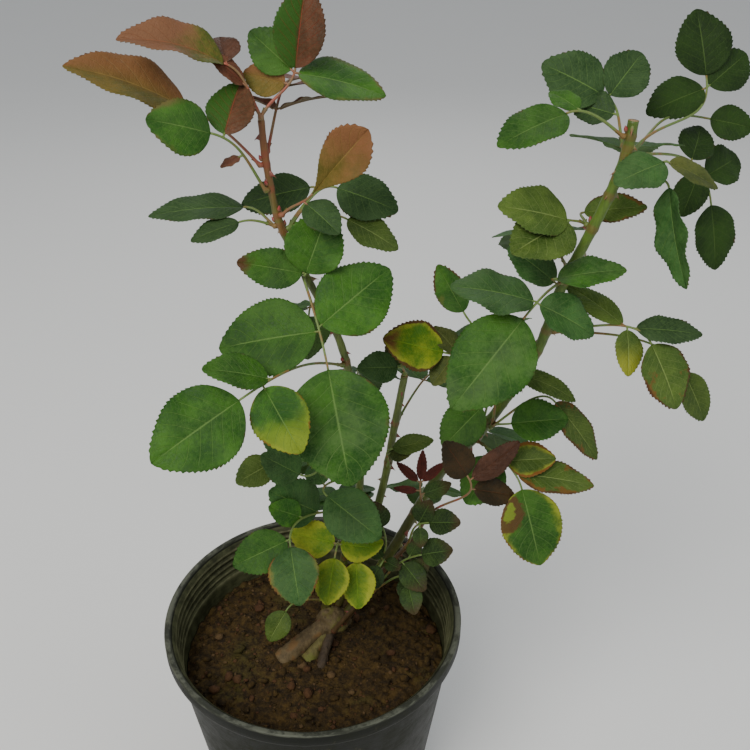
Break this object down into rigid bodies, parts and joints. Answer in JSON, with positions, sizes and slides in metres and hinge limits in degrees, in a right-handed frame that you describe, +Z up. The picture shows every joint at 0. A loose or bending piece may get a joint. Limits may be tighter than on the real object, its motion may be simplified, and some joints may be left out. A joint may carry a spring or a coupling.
{
  "type": "potted rose bush",
  "caption": "Young rose bush with two long leafy canes, a short middle cane and small low shoots, growing from a bared woody crown in a black nursery pot with soil.",
  "frame": {"origin": "centre of the pot's flat underside", "axes": "+Z up along the pot axis; +X to the right and -Y towards the viewer of the picture, with the long right cane leaning to +X"},
  "size_m": [0.3875, 0.2307, 0.6262],
  "materials": {
    "pot": "dusty black moulded plastic",
    "soil": "crumbly brown potting soil",
    "crown": "dry grey-brown bark",
    "canes": "smooth green bark with thorns",
    "shoots": "smooth young pink-brown bark",
    "leaves_red": "young red leaf, matte to satin",
    "leaves_orange": "young orange leaf, matte to satin",
    "leaves_green": "mid-green leaf, matte to satin",
    "leaves_blueGreen": "dusty blue-green leaf, matte to satin",
    "leaves_pale": "pale green leaf, matte to satin",
    "leaves_yellow": "yellowing leaf, matte to satin",
    "leaves_olive": "olive leaf, matte to satin",
    "leaves_bronze": "dark bronze leaf, matte to satin"
  },
  "bodies": {
    "root": {"pot": "pot", "soil": "soil", "crown": "crown", "left_cane_lower": "canes", "left_cane_upper": "canes", "middle_cane": "canes", "right_cane_lower": "canes", "right_cane_middle": "canes", "right_cane_upper": "canes", "young_shoot": "shoots", "low_spur": "shoots", "spray_at_the_left_tip": "leaves_red", "orange_spray": "leaves_orange", "young_left_spray": "leaves_green", "red_spray": "leaves_red", "dusky_left_spray": "leaves_blueGreen", "left_reaching_spray": "leaves_blueGreen", "hanging_front_spray": "leaves_green", "broad_left_spray": "leaves_green", "inner_left_spray": "leaves_pale", "low_left_spray": "leaves_blueGreen", "blue_green_spray": "leaves_blueGreen", "yellowing_spray": "leaves_yellow", "pale_basal_spray": "leaves_pale", "spray_at_the_middle_tip": "leaves_blueGreen", "inner_middle_spray": "leaves_pale", "great_right_spray": "leaves_blueGreen", "blotched_spray": "leaves_yellow", "right_reaching_spray": "leaves_pale", "low_right_spray": "leaves_green", "hanging_right_spray": "leaves_green", "pale_right_spray": "leaves_pale", "spray_left_of_the_right_tip": "leaves_green", "spray_behind_the_right_tip": "leaves_green", "far_right_spray": "leaves_olive", "folded_right_spray": "leaves_green", "spray_at_the_shoot_tip": "leaves_bronze", "spray_beside_the_shoot": "leaves_olive", "small_low_spray": "leaves_olive", "spray_at_the_spur_tip": "leaves_olive", "rear_spray_at_the_left_tip": "leaves_red", "rear_upper_left_spray": "leaves_green", "rear_middle_left_spray": "leaves_blueGreen", "rear_lower_left_spray": "leaves_green", "rear_low_spray": "leaves_blueGreen", "rear_middle_spray": "leaves_green", "rear_top_right_spray": "leaves_green", "rear_upper_right_spray": "leaves_blueGreen", "rear_middle_right_spray": "leaves_green", "rear_lower_right_spray": "leaves_blueGreen", "rear_low_right_spray": "leaves_green"}
  },
  "joints": []
}
